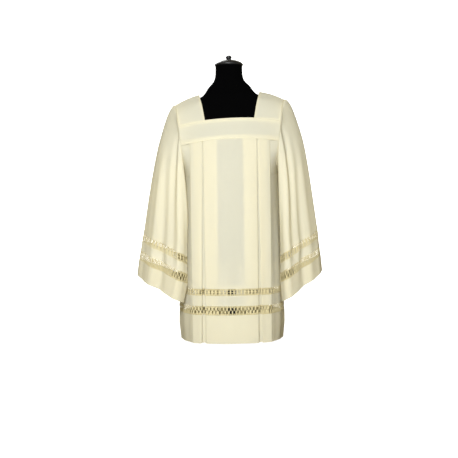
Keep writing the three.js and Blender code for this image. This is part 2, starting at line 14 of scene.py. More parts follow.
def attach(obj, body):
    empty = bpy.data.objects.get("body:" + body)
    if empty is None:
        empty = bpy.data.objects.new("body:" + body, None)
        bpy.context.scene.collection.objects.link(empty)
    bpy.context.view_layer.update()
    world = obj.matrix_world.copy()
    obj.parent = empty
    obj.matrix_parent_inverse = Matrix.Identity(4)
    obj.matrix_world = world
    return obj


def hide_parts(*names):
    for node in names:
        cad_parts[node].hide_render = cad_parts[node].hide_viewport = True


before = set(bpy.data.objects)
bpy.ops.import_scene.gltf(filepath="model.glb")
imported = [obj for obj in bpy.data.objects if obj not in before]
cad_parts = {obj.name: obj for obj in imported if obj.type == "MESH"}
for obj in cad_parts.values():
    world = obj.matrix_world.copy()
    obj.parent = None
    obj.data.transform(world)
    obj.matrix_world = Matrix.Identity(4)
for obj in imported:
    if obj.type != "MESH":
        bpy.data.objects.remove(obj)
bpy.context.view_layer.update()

MM = 0.001
CLOTH = 0.7  # thickness of one layer of cloth
LAYER = 2.6  # pitch of the layers in a pleat, pressed flat
SEAM = 0.15  # gap between pieces at a seam
LACE_SEAM = 0.6  # and beside a strip of lace
SHARP_ANGLE = math.radians(40)  # faces that meet at more than this are shaded apart


def rows(names, *values):
    """A short table: one dict for each row, with the given column names."""
    return [dict(zip(names.split(), row)) for row in values]


def columns(table, names):
    """Some columns of a table: an array with a row for each of its rows."""
    return np.array([[row[name] for name in names.split()] for row in table])


def value_at(table, column, key, at):
    """One column of a table at a value of its key column, straight between rows."""
    return np.interp(at, [row[key] for row in table], [row[column] for row in table])


def smoothstep(x, low, high):
    t = np.clip((np.asarray(x, float) - low) / (high - low), 0, 1)
    return t * t * (3 - 2 * t)


def faded(x, start, end, rise, fall):
    """1 between start and end, and fading to 0 at both."""
    return smoothstep(x, start, start + rise) * (1 - smoothstep(x, end - fall, end))


# -------- sizes of the garment
LEVEL = dict(hem=6, low_lace_bottom=118, low_lace_top=154, high_lace_bottom=195, high_lace_top=222,
             flare=450, underarm=665, yoke_bottom=806, yoke_top=889)
BODY = rows(
    "z side front back edge",
    (6, 210, 151, 147, 119), (70, 216, 150, 146, 118), (222, 213, 147, 143, 117),
    (450, 204, 142, 139, 114), (665, 196, 138, 135, 111), (806, 192, 128, 126, 109),
    (889, 202, 104, 104, 98))
# How far a seam drops from the centre to DROP_WIDTH, and how the front falls away to its edge.
DROP = rows("z drop", (665, 0), (806, 22), (889, 21))
DROP_WIDTH = 192
PANEL_EDGE = 157
CROWN = 2.2
# The cloth runs to x in layer `layer`, then turns into layer `into`; steps is its number of points.
FOLDS = rows(
    "yoke hem layer into steps",
    (105.5, 104, 0, 1, 18), (51, 54, 1, 2, 9), (145, 144, 2, 1, 14), (108.5, 121, 1, 0, 5),
    (157, 157, 0, 1, 9), (151, 151, 1, 2, 2))
LAST_FOLD = 151
TURN_STEPS = 5
SIDE_BEND = dict(across=0.6, back=0.3, steps=18)
PARTING = dict(left=1.0, right=0.8)  # how far the pleats open at the hem, as a share
# The inmost layer hangs back behind the parting of a pleat: its middle, the ends and the depth.
PARTED = dict(yoke=107, hem=112, start=54, end=144, recess=15)

# Armhole from the top of the shoulder to the underarm; level is the height that the row of the
# body has at the centre.
ARMHOLE_SHOULDER = rows("x y z", (222, 0, 950), (214, 40, 937), (207, 72, 906))
ARMHOLE_BODY = rows(
    "level x y", (889, 202, 90), (848, 197, 97), (806, 192, 99), (756, 186, 90),
    (712, 184, 70), (682, 188, 40), (665, 196, 0))
ARMHOLE_STEPS = 8  # points in each stretch between two rows above
NECK_EDGE = rows("x y z", (121, 0, 993), (114, 53, 967), (106, 77, 935))
NECK_CORNER_X = 97
SHOULDER_CROWN = 5
# Points across the yoke and a shoulder, and the step between rows of cloth.
YOKE_STEPS, SHOULDER_STEPS = 90, 24
ROW_STEP = dict(panel=14, band=5, hem=8)

SLEEVE = rows(
    "free outer_x outer_z inner_z left right front depth sag",
    (0.4, 246, 941, 652, 178, 186, 90, 102, 0), (0.8, 262, 893, 596, 174, 190, 87, 109, 0),
    (1, 287, 800, 530, 170, 190, 85, 116, -2), (1, 309, 700, 472, 169, 190, 84, 120, -4),
    (1, 329, 585, 414, 169, 190, 84, 123, -7), (1, 352, 437, 339, 169, 191, 84, 125, -9),
    (1, 357, 407, 309, 169, 191, 84, 126, -7), (1, 362, 373, 274, 169, 190, 84, 126, -4),
    (1, 368, 337, 239, 170, 189, 85, 126, 1), (1, 376, 274, 173, 187, 196, 88, 122, 11))
SLEEVE_STEPS = 7  # rings in each stretch between two rows above
SLEEVE_BANDS = dict(high_lace=6, middle=7, low_lace=8, cuff=9, end=10)
SLEEVE_PLAN = dict(shoulder_x=0.1, shoulder_y=0.4, front_x=0.78)
SLEEVE_CLEAR = 7  # between a sleeve and the body's side
CREASE_CLEAR = dict(top=0.2, below=0.75, rings=12)  # shares of it, once creased
ARMHOLE_LAP = dict(top=0.5, side=1.9, start=120)
FOLD_START = 0.35
HAND = dict(left=dict(sign=-1, head=-4, reach=8, lift=-5, flare=0),
            right=dict(sign=1, head=7, reach=-8, lift=5, flare=-2))
# The garment's shoulder at the viewer's right is the higher one: how much, and where the rise
# starts and ends across the garment and up it.
RISE = dict(height=16, start=-100, end=190, level=(480, 860), neck=(1000, 1090))
RING = 18 * ARMHOLE_STEPS  # points round a sleeve

# Soft folds of a sleeve: place round it (0 outer edge, 0.25 front, 0.5 inner edge, 0.75 back),
# height at the cuff (a trough is negative), half width as a share of the ring.
SLEEVE_FOLDS = rows(
    "at left right width",
    (0.05, -4, -3, 0.035), (0.13, 8, 5, 0.04), (0.19, -7, -7, 0.035),
    (0.285, 5, 5, 0.035), (0.37, -4, -4, 0.03), (0.63, -6, -6, 0.035),
    (0.72, 7, 8, 0.045), (0.82, -7, -5, 0.04), (0.91, 5, 6, 0.035))
# Finer creases that start and end part of the way down a sleeve: place round it near the top,
# half way down and at the cuff, where it starts and ends between armhole (0) and cuff (1),
# height at the left and right, half width.
SLEEVE_CREASES = rows(
    "top middle bottom start end left right width",
    (0.225, 0.28, 0.285, -0.02, 1.1, 6, 5, 0.014),
    (0.19, 0.243, 0.262, -0.02, 0.85, -4.5, -5, 0.016),
    (0.16, 0.205, 0.225, 0.15, 1, 3, 4.5, 0.015),
    (0.13, 0.172, 0.19, 0.2, 1.15, -5, -2.5, 0.017),
    (0.1, 0.125, 0.14, 0.25, 1.2, 4, 2.5, 0.017),
    (0.27, 0.325, 0.33, 0.05, 1.15, -5, -4.5, 0.017),
    (0.345, 0.365, 0.37, -0.02, 1.05, -2.5, -2.5, 0.022),
    (0.04, 0.05, 0.075, 0.2, 1.2, -2.5, 3, 0.018),
    (0.43, 0.435, 0.44, 0.1, 1.1, 3, 3.4, 0.018),
    (0.56, 0.575, 0.57, 0.15, 0.95, 3.2, 2.4, 0.018),
    (0.66, 0.69, 0.7, 0.05, 1, 4, 4.5, 0.017),
    (0.735, 0.76, 0.78, 0.15, 1.1, -4.5, -3.5, 0.017),
    (0.79, 0.81, 0.83, 0.1, 1.15, 3.5, 4.5, 0.016),
    (0.87, 0.88, 0.9, 0.2, 1.15, -4, -3, 0.017),
    (0.94, 0.94, 0.935, 0.25, 1.1, 3, 2.5, 0.018))
# Soft creases of the body: place across it, half width, height, and the levels it runs between.
BODY_CREASES = rows(
    "x width height low high",
    (-128, 13, 1.8, -60, 640), (-86, 20, -1.4, 40, 720), (-20, 26, 1.5, -40, 560),
    (34, 22, -1.5, -80, 700), (80, 16, 1.3, 100, 760), (132, 14, -1.6, -60, 600),
    (-60, 18, 1.2, 380, 900), (14, 30, 1.2, 480, 900))
SIDE_CREASES = rows(
    "share width height low high",
    (0.30, 0.10, -1.6, -60, 640), (0.58, 0.12, 1.8, -80, 560),
    (0.84, 0.09, -1.6, -60, 420))
CREASE_FADE = dict(body=(110, 160), sleeve=(0.18, 0.25))  # over how much each end fades

TORSO = rows(
    "z side front back",
    (308, 170, 104, 104), (330, 178, 110, 110), (450, 182, 113, 112), (620, 160, 99, 96),
    (780, 176, 110, 108), (850, 184, 101, 101), (905, 192, 84, 84), (935, 188, 72, 72),
    (955, 174, 60, 60), (971, 150, 52, 52), (984, 113, 48, 48), (1000, 97, 50, 52),
    (1020, 84, 51, 53), (1044, 63, 51, 53), (1070, 55, 52, 53), (1107, 54, 53, 53))
TORSO_SQUARENESS = 2.5
TORSO_POINTS, TORSO_STEPS = 96, 5  # round a ring, and rings in each stretch
CAP = rows(
    "r z", (54, 1107.4), (57, 1110), (57, 1114), (49, 1121), (31, 1128), (13, 1132),
    (9, 1135), (12, 1139), (11, 1145), (6, 1149))
CAP_STEPS, CAP_TIP = 4, 0.6  # points in each stretch, and the radius that its top closes at
POLE_RADIUS = 16
FORM_GAP = 0.3  # between the pole and what it meets
BASE = dict(radius=118, height=12, bevel=3)


# -------- camera, light and stage
CAMERA_DISTANCE = 3.4  # metres from the form's axis
CAMERA_HEIGHT = 0.62
VIEW_WIDTH = 1.786  # metres that the frame spans at the front of the garment
FRONT_PLANE = 0.14  # metres from the axis to the front of the garment
FRAME_CENTRE = (-0.008, 0.4565)  # x and z that the middle of the frame looks at, front plane
ROLL = math.radians(-0.8)

LAMP_WHITE = (0.955, 0.985, 1.0)
KEY = dict(place=(-0.06, -1.25, 0.72), target=(0.0, 0.0, 0.62), size=(0.26, 1.50), power=15)
# The direction that a sun's light comes from, its strength and its angle in degrees.
SUNS = rows(
    "name towards strength angle",
    ("front", (-0.10, -1.0, 0.64), 3.0, 12), ("back", (-0.40, 1.0, 0.50), 2.9, 30))
SKY = dict(colour=(1.0, 0.84, 0.44), strength=0.19)
# Metres: the floor's radius, its bend up into the wall, the wall's height.
STAGE = dict(floor=5.5, bend=2.0, wall=9.0, around=96, bend_steps=16)
STAGE_PAPER = (0.93, 0.93, 0.93)
STAGE_GLOW = dict(colour=(0.97, 0.98, 1.0), strength=0.86)


def add_camera():
    """The camera: in front of the garment, level with its middle, rolled a little."""
    data = bpy.data.cameras.new("camera")
    data.sensor_width = 36
    data.lens = data.sensor_width * (CAMERA_DISTANCE - FRONT_PLANE) / VIEW_WIDTH
    camera = bpy.data.objects.new("camera", data)
    camera.location = (0, -CAMERA_DISTANCE, CAMERA_HEIGHT)
    aim = Vector((FRAME_CENTRE[0], -FRONT_PLANE, FRAME_CENTRE[1])) - camera.location
    turn = aim.to_track_quat("-Z", "Y").to_matrix().to_4x4()
    camera.rotation_euler = (turn @ Matrix.Rotation(ROLL, 4, "Z")).to_euler()
    bpy.context.scene.collection.objects.link(camera)
    bpy.context.scene.camera = camera


def add_lamp(name, kind, power):
    data = bpy.data.lights.new(name, kind)
    data.energy = power
    data.color = LAMP_WHITE
    light = bpy.data.objects.new(name, data)
    bpy.context.scene.collection.objects.link(light)
    return light


def add_lights():
    """A tall soft lamp in front, a soft sun in front and one behind, and a weak warm sky."""
    world = bpy.data.worlds.new("studio")
    world.use_nodes = True
    background = world.node_tree.nodes["Background"]
    set_inputs(background, Color=(*SKY["colour"], 1), Strength=SKY["strength"])
    bpy.context.scene.world = world
    key = add_lamp("key", "AREA", KEY["power"])
    key.data.shape = "RECTANGLE"
    key.data.size, key.data.size_y = KEY["size"]
    key.location = KEY["place"]
    key.visible_camera = False
    key.rotation_euler = (Vector(KEY["target"]) - key.location).to_track_quat("-Z", "Y").to_euler()
    for row in SUNS:
        sun = add_lamp(row["name"], "SUN", row["strength"])
        sun.data.angle = math.radians(row["angle"])
        sun.rotation_euler = Vector(row["towards"]).to_track_quat("Z", "Y").to_euler()


def add_stage():
    """A pale round floor that curves up into a wall all round.

    Only the camera and the lamps see it, so the cloth is lit by the studio light alone.
    """
    floor, bend, around = STAGE["floor"], STAGE["bend"], STAGE["around"]
    profile = []
    for angle in np.linspace(0, math.pi / 2, STAGE["bend_steps"] + 1):
        profile.append((floor + bend * math.sin(angle), bend * (1 - math.cos(angle))))
    profile.append((floor + bend, STAGE["wall"]))
    rings = lathe_rings(profile, around)
    at = 1 + numbered(rings, True)
    faces = [(0, 1 + i, 1 + (i + 1) % around) for i in range(around)]
    faces += quads(at[:-1, :-1], at[1:, :-1], at[1:, 1:], at[:-1, 1:])
    mesh = bpy.data.meshes.new("stage")
    mesh.from_pydata([(0.0, 0.0, 0.0)] + rings.reshape(-1, 3).tolist(), [], faces)
    mesh.shade_smooth()
    stage = bpy.data.objects.new("stage", mesh)
    stage.visible_diffuse = stage.visible_glossy = False
    stage.visible_transmission = stage.visible_shadow = False
    bpy.context.scene.collection.objects.link(stage)
    paper = Nodes("stage_paper")
    set_inputs(paper.shader, Base_Color=(*STAGE_PAPER, 1), Roughness=0.9,
               Emission_Color=(*STAGE_GLOW["colour"], 1), Emission_Strength=STAGE_GLOW["strength"])
    stage.data.materials.append(paper.material)


# -------- materials
def set_inputs(node, **values):
    """Sets input sockets of a node; an underscore stands for a space in a socket's name."""
    for name, value in values.items():
        node.inputs[name.replace("_", " ")].default_value = value


class Nodes:
    """A short way to write a material's nodes."""

    def __init__(self, name):
        self.material = bpy.data.materials.new(name)
        self.material.use_nodes = True
        self.tree = self.material.node_tree
        self.shader = self.tree.nodes["Principled BSDF"]
        self.output = self.tree.nodes["Material Output"]

    def add(self, kind, **settings):
        node = self.tree.nodes.new(kind)
        for key, value in settings.items():
            setattr(node, key, value)
        return node

    def link(self, source, target):
        self.tree.links.new(source, target)

    def maths(self, operation, *values):
        node = self.add("ShaderNodeMath", operation=operation)
        for socket, value in zip(node.inputs, values):
            if isinstance(value, (int, float)):
                socket.default_value = value
            else:
                self.link(value, socket)
        return node.outputs[0]

    def place(self):
        """Object coordinates, in metres, split into x, y and z."""
        coordinates = self.add("ShaderNodeTexCoord")
        split = self.add("ShaderNodeSeparateXYZ")
        self.link(coordinates.outputs["Object"], split.inputs[0])
        return coordinates.outputs["Object"], split.outputs

    def waves(self, along, pitch):
        """Even waves along a coordinate, pitch metres apart."""
        return self.maths("SINE", self.maths("MULTIPLY", along, 2 * math.pi / pitch))

    def noise(self, vector, scale, detail=3.0, roughness=0.5):
        node = self.add("ShaderNodeTexNoise")
        set_inputs(node, Scale=scale, Detail=detail, Roughness=roughness)
        self.link(vector, node.inputs["Vector"])
        return node.outputs["Fac"]

    def colour(self, share, low, high):
        """Base colour that follows a value between 0 and 1."""
        node = self.add("ShaderNodeMix", data_type="RGBA")
        self.link(share, node.inputs["Factor"])
        node.inputs[6].default_value = (*low, 1)
        node.inputs[7].default_value = (*high, 1)
        self.link(node.outputs[2], self.shader.inputs["Base Color"])

    def roughness(self, source, low, high):
        """Roughness that follows a value between 0 and 1."""
        node = self.add("ShaderNodeMapRange")
        self.link(source, node.inputs["Value"])
        set_inputs(node, To_Min=low, To_Max=high)
        self.link(node.outputs[0], self.shader.inputs["Roughness"])

    def bump(self, height, distance, strength):
        node = self.add("ShaderNodeBump")
        set_inputs(node, Distance=distance, Strength=strength)
        self.link(height, node.inputs["Height"])
        self.link(node.outputs["Normal"], self.shader.inputs["Normal"])


def cloth_material(name, low, high, through, weave_pitch, translucent, sheer):
    """Woven cloth: light and dark yarn, a plain weave, soft sheen, light coming through it."""
    nodes = Nodes(name)
    vector, (x, y, z) = nodes.place()
    slub = nodes.noise(vector, 55, 4, 0.6)
    nodes.colour(slub, low, high)
    nodes.roughness(slub, 0.68, 0.86)
    set_inputs(nodes.shader, Specular_IOR_Level=0.25, Sheen_Weight=0.12, Sheen_Roughness=0.45,
               Sheen_Tint=(1.0, 0.98, 0.92, 1), Alpha=1 - sheer)
    warp, weft = (nodes.waves(at, weave_pitch * MM) for at in (nodes.maths("ADD", x, y), z))
    nodes.bump(nodes.maths("MULTIPLY", warp, weft), 0.00012, 0.6)
    light = nodes.add("ShaderNodeBsdfTranslucent")
    set_inputs(light, Color=(*through, 1))
    mix = nodes.add("ShaderNodeMixShader")
    set_inputs(mix, Fac=translucent)
    nodes.link(nodes.shader.outputs[0], mix.inputs[1])
    nodes.link(light.outputs[0], mix.inputs[2])
    nodes.link(mix.outputs[0], nodes.output.inputs["Surface"])
    return nodes.material


def jersey_material():
    """Black stretch jersey: fine knit ribs, a little dust in its nap."""
    nodes = Nodes("black_jersey")
    vector, (x, y, _) = nodes.place()
    nap = nodes.noise(vector, 180, 5, 0.65)
    nodes.colour(nap, (0.0002, 0.0002, 0.0002), (0.0014, 0.0014, 0.0016))
    set_inputs(nodes.shader, Roughness=0.92, Specular_IOR_Level=0.012, Sheen_Weight=0.002,
               Sheen_Roughness=0.5)
    nodes.bump(nodes.waves(nodes.maths("ADD", x, y), 0.0018), 0.0003, 0.35)
    return nodes.material


def worn_material(name, low, high, roughness, grain):
    """Paint or turned moulding with an uneven finish."""
    nodes = Nodes(name)
    vector, _ = nodes.place()
    patches = nodes.noise(vector, grain, 4, 0.6)
    nodes.colour(patches, low, high)
    nodes.roughness(patches, *roughness)
    nodes.bump(nodes.noise(vector, grain * 12), 0.0001, 0.2)
    return nodes.material


# -------- cloth as closed shells
def raised(points):
    """The points moved up with the higher shoulder."""
    x, z = points[:, 0], points[:, 2]
    across = np.maximum(0, (x - RISE["start"]) / (RISE["end"] - RISE["start"]))
    share = np.where(across < 1, across ** 2, 1 + 0.25 * (1 - np.exp(8 * (1 - across))))
    share = share * smoothstep(z, *RISE["level"]) * (1 - smoothstep(z, *RISE["neck"]))
    return points + np.stack([0 * x, 0 * x, RISE["height"] * share], axis=1)


class Builder:
    """Gathers points and faces of one piece, in millimetres."""

    def __init__(self):
        self.points = []
        self.faces = []
        self.count = 0

    def add(self, points, faces):
        points = np.asarray(points, float).reshape(-1, 3)
        self.faces.extend(tuple(int(i) + self.count for i in face) for face in faces)
        self.points.append(points)
        self.count += len(points)

    def finish(self, name, material, slot, *replaces):
        """The piece itself, standing for the named solids."""
        mesh = bpy.data.meshes.new(name)
        mesh.from_pydata((raised(np.concatenate(self.points)) * MM).tolist(), [], self.faces)
        mesh.validate()
        mesh.shade_smooth()
        mesh.set_sharp_from_angle(angle=SHARP_ANGLE)
        mesh.materials.append(material)
        piece = bpy.data.objects.new(name, mesh)
        bpy.context.scene.collection.objects.link(piece)
        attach(piece, "root")
        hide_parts(*replaces)
        return piece


def unit(vectors):
    return vectors / np.maximum(np.linalg.norm(vectors, axis=-1, keepdims=True), 1e-9)


def normals_of(grid, closed):
    """Outward direction at each point of a grid of rows (up) and columns (left to right)."""
    if closed:
        across = np.roll(grid, -1, 1) - np.roll(grid, 1, 1)
    else:
        across = np.gradient(grid, axis=1)
    up = np.gradient(grid, axis=0)
    return unit(np.cross(across, up))


def joined(grid, closed):
    """The grid, with its first column again at the end if it is closed."""
    return np.concatenate([grid, grid[:, :1]], axis=1) if closed else grid


def numbered(grid, closed):
    """The index of each point of a grid."""
    count = grid.shape[0] * grid.shape[1]
    return joined(np.arange(count).reshape(grid.shape[:2]), closed)


def quads(*corners):
    """Four-sided faces from four arrays of their corners."""
    return np.stack(corners, axis=-1).reshape(-1, 4).tolist()


def add_shell(builder, grid, outward, closed=False, thickness=CLOTH):
    """Adds a closed shell of one layer of cloth through the middle points `grid`.

    outward is +1 where columns run left to right seen from outside, -1 where they don't.
    """
    offset = normals_of(grid, closed) * (thickness / 2) * outward
    outer = numbered(grid, closed)
    inner = outer + grid.shape[0] * grid.shape[1]
    faces = quads(outer[:-1, :-1], outer[:-1, 1:], outer[1:, 1:], outer[1:, :-1])
    faces += quads(inner[1:, :-1], inner[1:, 1:], inner[:-1, 1:], inner[:-1, :-1])
    faces += quads(inner[0, :-1], inner[0, 1:], outer[0, 1:], outer[0, :-1])
    faces += quads(outer[-1, :-1], outer[-1, 1:], inner[-1, 1:], inner[-1, :-1])
    if not closed:
        faces += quads(outer[:-1, 0], outer[1:, 0], inner[1:, 0], inner[:-1, 0])
        faces += quads(inner[:-1, -1], inner[1:, -1], outer[1:, -1], outer[:-1, -1])
    if outward < 0:
        faces = [face[::-1] for face in faces]
    builder.add(np.concatenate([grid + offset, grid - offset]), faces)


def add_closed_loft(builder, rings):
    """Rings joined by skin and closed at both ends, faces out."""
    at = numbered(rings, True)
    faces = quads(at[:-1, :-1], at[:-1, 1:], at[1:, 1:], at[1:, :-1])
    builder.add(rings, faces + [at[0, -2::-1].tolist(), at[-1, :-1].tolist()])


def inset(grid, closed=False):
    """Moves the rim of a grid inwards, for the gap at its seams."""
    grid = grid.copy()
    gap = SEAM / 2
    grid[0] += unit(grid[1] - grid[0]) * gap
    grid[-1] += unit(grid[-2] - grid[-1]) * gap
    if not closed:
        grid[:, 0] += unit(grid[:, 1] - grid[:, 0]) * gap
        grid[:, -1] += unit(grid[:, -2] - grid[:, -1]) * gap
    return grid


def cut_of(grid, closed):
    """Width and length that a piece was cut to, in metres along the cloth, and its area."""
    ring = joined(grid, closed)
    width = np.linalg.norm(np.diff(ring, axis=1), axis=2).sum(1).max()
    length = np.linalg.norm(np.diff(grid, axis=0), axis=2).sum(0).max()
    cells = np.cross(ring[1:, 1:] - ring[:-1, :-1], ring[1:, :-1] - ring[:-1, 1:])
    area = float(np.linalg.norm(cells, axis=2).sum() / 2 * MM * MM)
    return round(width * MM, 3), round(length * MM, 3), area


# -------- smooth curves
def catmull(points, steps, closed=False):
    """Points on a smooth curve through `points`, `steps` to each stretch between two of them."""
    points = np.asarray(points, float)
    n = len(points)
    out = []
    for i in range(n if closed else n - 1):
        if closed:
            p = [points[(i + k) % n] for k in (-1, 0, 1, 2)]
        else:
            p = [points[min(max(i + k, 0), n - 1)] for k in (-1, 0, 1, 2)]
        for t in np.arange(steps) / steps:
            square = 2 * p[0] - 5 * p[1] + 4 * p[2] - p[3]
            cube = 3 * p[1] - p[0] - 3 * p[2] + p[3]
            out.append(0.5 * (2 * p[1] + (p[2] - p[0]) * t + square * t ** 2 + cube * t ** 3))
    if not closed:
        out.append(points[-1])
    return np.array(out)


def lengths_along(line):
    """The distance of each point of a line from its start, measured along it."""
    return np.concatenate([[0], np.cumsum(np.linalg.norm(np.diff(line, axis=0), axis=1))])


def read_along(at, along, values):
    """The values of a line's points at given distances along it, straight between points."""
    return np.stack([np.interp(at, along, column) for column in values.T], axis=-1)


def spaced(curve, count):
    """`count` points at even distances on a closed curve, the first one on its first point."""
    loop = np.concatenate([curve, curve[:1]])
    along = lengths_along(loop)
    return read_along(np.arange(count) / count * along[-1], along, loop)


# -------- body of the surplice
def outward_of(face):
    return 1 if face == "front" else -1


def seam_height(level, x):
    """Height of a row of the body at x: it drops towards the arms."""
    return level - value_at(DROP, "drop", "z", level) * (x / DROP_WIDTH) ** 2


def armhole_half():
    """The front half of the armhole, top to underarm: x, depth y and height z."""
    body = [(row["x"], row["y"], seam_height(row["level"], row["x"])) for row in ARMHOLE_BODY]
    half = np.concatenate([columns(ARMHOLE_SHOULDER, "x y z"), body])
    mirrored = half[1:-1][::-1] * (1, -1, 1)
    ring = catmull(np.concatenate([half, mirrored]), ARMHOLE_STEPS, closed=True)
    return ring[:RING // 2 + 1]


ARMHOLE = armhole_half()
SHOULDER_END = len(ARMHOLE_SHOULDER) * ARMHOLE_STEPS  # index in ARMHOLE of the yoke's top
YOKE_END = SHOULDER_END + 2 * ARMHOLE_STEPS  # and of its foot


def level_of(x, z):
    """The level whose seam passes through height z at x."""
    levels = np.linspace(LEVEL["underarm"], LEVEL["yoke_top"] + 5, 400)
    return float(np.interp(z, seam_height(levels, x), levels))


def side_end(level, hand="left"):
    """Where a row of the body ends: the side seam, or the armhole above the underarm."""
    if level <= LEVEL["underarm"]:
        swing = max(0, (LEVEL["flare"] - level) / (LEVEL["flare"] - LEVEL["hem"]))
        return float(value_at(BODY, "side", "z", level)) + HAND[hand]["flare"] * swing, 0.0
    below = ARMHOLE[SHOULDER_END:][::-1]
    levels = [level_of(x, z) for x, _, z in below]
    return float(np.interp(level, levels, below[:, 0])), float(np.interp(level, levels, below[:, 1]))


def panel_depth(level, x, face):
    """Depth of the outer layer of the body at x."""
    centre = value_at(BODY, face, "z", level)
    return centre - (centre - value_at(BODY, "edge", "z", level)) * (np.abs(x) / PANEL_EDGE) ** CROWN


def crease(table, key, at, level):
    """Height of the soft creases at a place, fading at both ends of each."""
    height = np.zeros_like(np.asarray(at, float))
    for row in table:
        fade = faded(level, row["low"], row["high"], *CREASE_FADE["body"])
        height += row["height"] * fade * np.exp(-((at - row[key]) / row["width"]) ** 2)
    return height


def hung_back(x, opened):
    """How far the inmost layer lies back behind the parting of a pleat."""
    middle = PARTED["yoke"] + (PARTED["hem"] - PARTED["yoke"]) * opened
    share = np.interp(x, (PARTED["start"], middle, PARTED["end"]), (0, 1, 0))
    return PARTED["recess"] * opened * np.sin(share * math.pi / 2)


def pleated_half(level, face, hand):
    """Half a row of the pleated body, centre to side: x and depth of every point."""
    down = (LEVEL["yoke_bottom"] - level) / (LEVEL["yoke_bottom"] - LEVEL["hem"])
    radius = LAYER / 2
    sign = HAND[hand]["sign"]
    xs, depths = [], []

    def run(points, layers):
        points = np.asarray(points, float)
        ripple = crease(BODY_CREASES, "x", sign * points * outward_of(face), level)
        if np.ndim(layers) == 0 and layers == 2:
            ripple = ripple - hung_back(points, down * PARTING[hand])
        xs.extend(points)
        depths.extend(panel_depth(level, points, face) - np.asarray(layers) * LAYER + ripple)

    x = 0.0
    for fold in FOLDS:
        target = fold["yoke"] + (fold["hem"] - fold["yoke"]) * down * PARTING[hand]
        direction = math.copysign(1, target - x)
        stop = target - direction * radius
        run(np.linspace(x, stop, fold["steps"] + 1)[:-1], fold["layer"])
        angle = np.linspace(0, math.pi, TURN_STEPS)
        middle = (fold["layer"] + fold["into"]) / 2
        half = (fold["into"] - fold["layer"]) / 2
        run(stop + direction * radius * np.sin(angle), middle - half * np.cos(angle))
        x = stop
    return bend_to_side(xs, depths, level, hand)


def side_curve(start, end, share):
    """The round from the last fold to the side, at shares of the way."""
    start, end = np.array(start), np.array(end)
    middle = start + (end - start) * (SIDE_BEND["across"], SIDE_BEND["back"])
    return (1 - share) ** 2 * start + 2 * share * (1 - share) * middle + share ** 2 * end


def bend_to_side(xs, depths, level, hand):
    """Goes on from the last fold round to the side seam or the armhole."""
    start, end = (xs[-1], depths[-1]), side_end(level, hand)
    share = np.linspace(0, 1, SIDE_BEND["steps"] + 1)[1:, None]
    bend = side_curve(start, end, share)
    direction = unit(np.gradient(bend, axis=0))
    outward = np.stack([-direction[:, 1], direction[:, 0]], axis=1)
    fade = np.sin(np.pi * share[:, 0]) ** 0.5
    ripple = crease(SIDE_CREASES, "share", share[:, 0], level) * fade
    inwards = level > LEVEL["underarm"] and end[1] > start[1]
    bend += outward * ripple[:, None] * (-1 if inwards else 1)
    return np.concatenate([xs, bend[:, 0]]), np.concatenate([depths, bend[:, 1]])


def pleated_row(level, face):
    """A whole row of the body, left to right."""
    halves = []
    for hand in ("left", "right"):
        sign = HAND[hand]["sign"]
        x, depth = pleated_half(level, face, hand)
        halves.append(np.stack([sign * x, -outward_of(face) * depth, seam_height(level, x)], axis=1))
    return np.concatenate([halves[0][:0:-1], halves[1]])


def levels_between(low, high, piece):
    return list(np.linspace(low, high, max(2, round((high - low) / ROW_STEP[piece]) + 1)))


def panel_levels():
    """Rows of the front or back: even up to the underarm, then one at each point of the armhole."""
    armhole = [level_of(x, z) for x, _, z in ARMHOLE[YOKE_END:][::-1]]
    armhole[0] = LEVEL["underarm"]
    armhole[-1] = LEVEL["yoke_bottom"]
    return levels_between(LEVEL["high_lace_top"], LEVEL["underarm"], "panel")[:-1] + armhole


def yoke_row(level, face, shares):
    """A row of the yoke, at shares of the way from the centre to the armhole."""
    end_x, end_y = side_end(level)
    x = shares * end_x
    centre = value_at(BODY, face, "z", level)
    depth = centre - (centre - end_y) * np.abs(shares) ** CROWN
    return np.stack([x, -outward_of(face) * depth, seam_height(level, x)], axis=1)


# -------- stitches and seam allowances
STITCH = dict(length=3.0, gap=1.6, width=0.55, height=0.35)
ALLOWANCE = dict(gap=0.25, thin=0.8, cut=12)  # thin: its thickness as a share; cut: turned in
PRESSED_LIFT = 0.4  # of a pressed band off the middle of the cloth, as a share of its thickness
YOKE_SEAM = 3.6  # from the yoke's edge to the middle of its pressed band


def add_stitches(builder, line, normal):
    """Short thread bars along a line of points, on a surface with that normal."""
    along = lengths_along(line)
    step = STITCH["length"] + STITCH["gap"]
    count = int((along[-1] - STITCH["gap"]) / step)
    for start in STITCH["gap"] + np.arange(count) * step:
        ends = read_along([start, start + STITCH["length"]], along, line)
        out = unit(read_along(start, along, normal))
        run = unit(ends[1] - ends[0])
        side = np.cross(out, run) * STITCH["width"] / 2
        top = out * STITCH["height"]
        middle = ends.mean(0)
        points = [ends[0], ends[1], middle + side, middle - side, middle + top]
        builder.add(points, [(0, 2, 4), (2, 1, 4), (1, 3, 4), (3, 0, 4), (0, 3, 1, 2)])


def stitch_row(builder, grid, outward, row, closed=False):
    """Stitches along one row of a grid, just proud of its outer face."""
    normal = normals_of(grid, closed)[row] * outward
    line = grid[row] + normal * CLOTH * 0.5
    if closed:
        line, normal = np.concatenate([line, line[:1]]), np.concatenate([normal, normal[:1]])
    add_stitches(builder, line, normal)


def add_pressed_seam(builder, line, normal, half=3.2, height=1.0):
    """A low rounded band along a line: the pressed edge of a seam, or a turned edge."""
    add_thread(builder, line + normal * CLOTH * PRESSED_LIFT, normal, half, height / half)


def add_allowance(builder, grid, outward, rows_used, closed=False):
    """A second layer of cloth behind some rows of a grid: a turned edge or a seam allowance."""
    normal = normals_of(grid, closed) * outward
    strip = (grid - normal * (CLOTH + ALLOWANCE["gap"]))[rows_used]
    add_shell(builder, strip, outward, closed, CLOTH * ALLOWANCE["thin"])


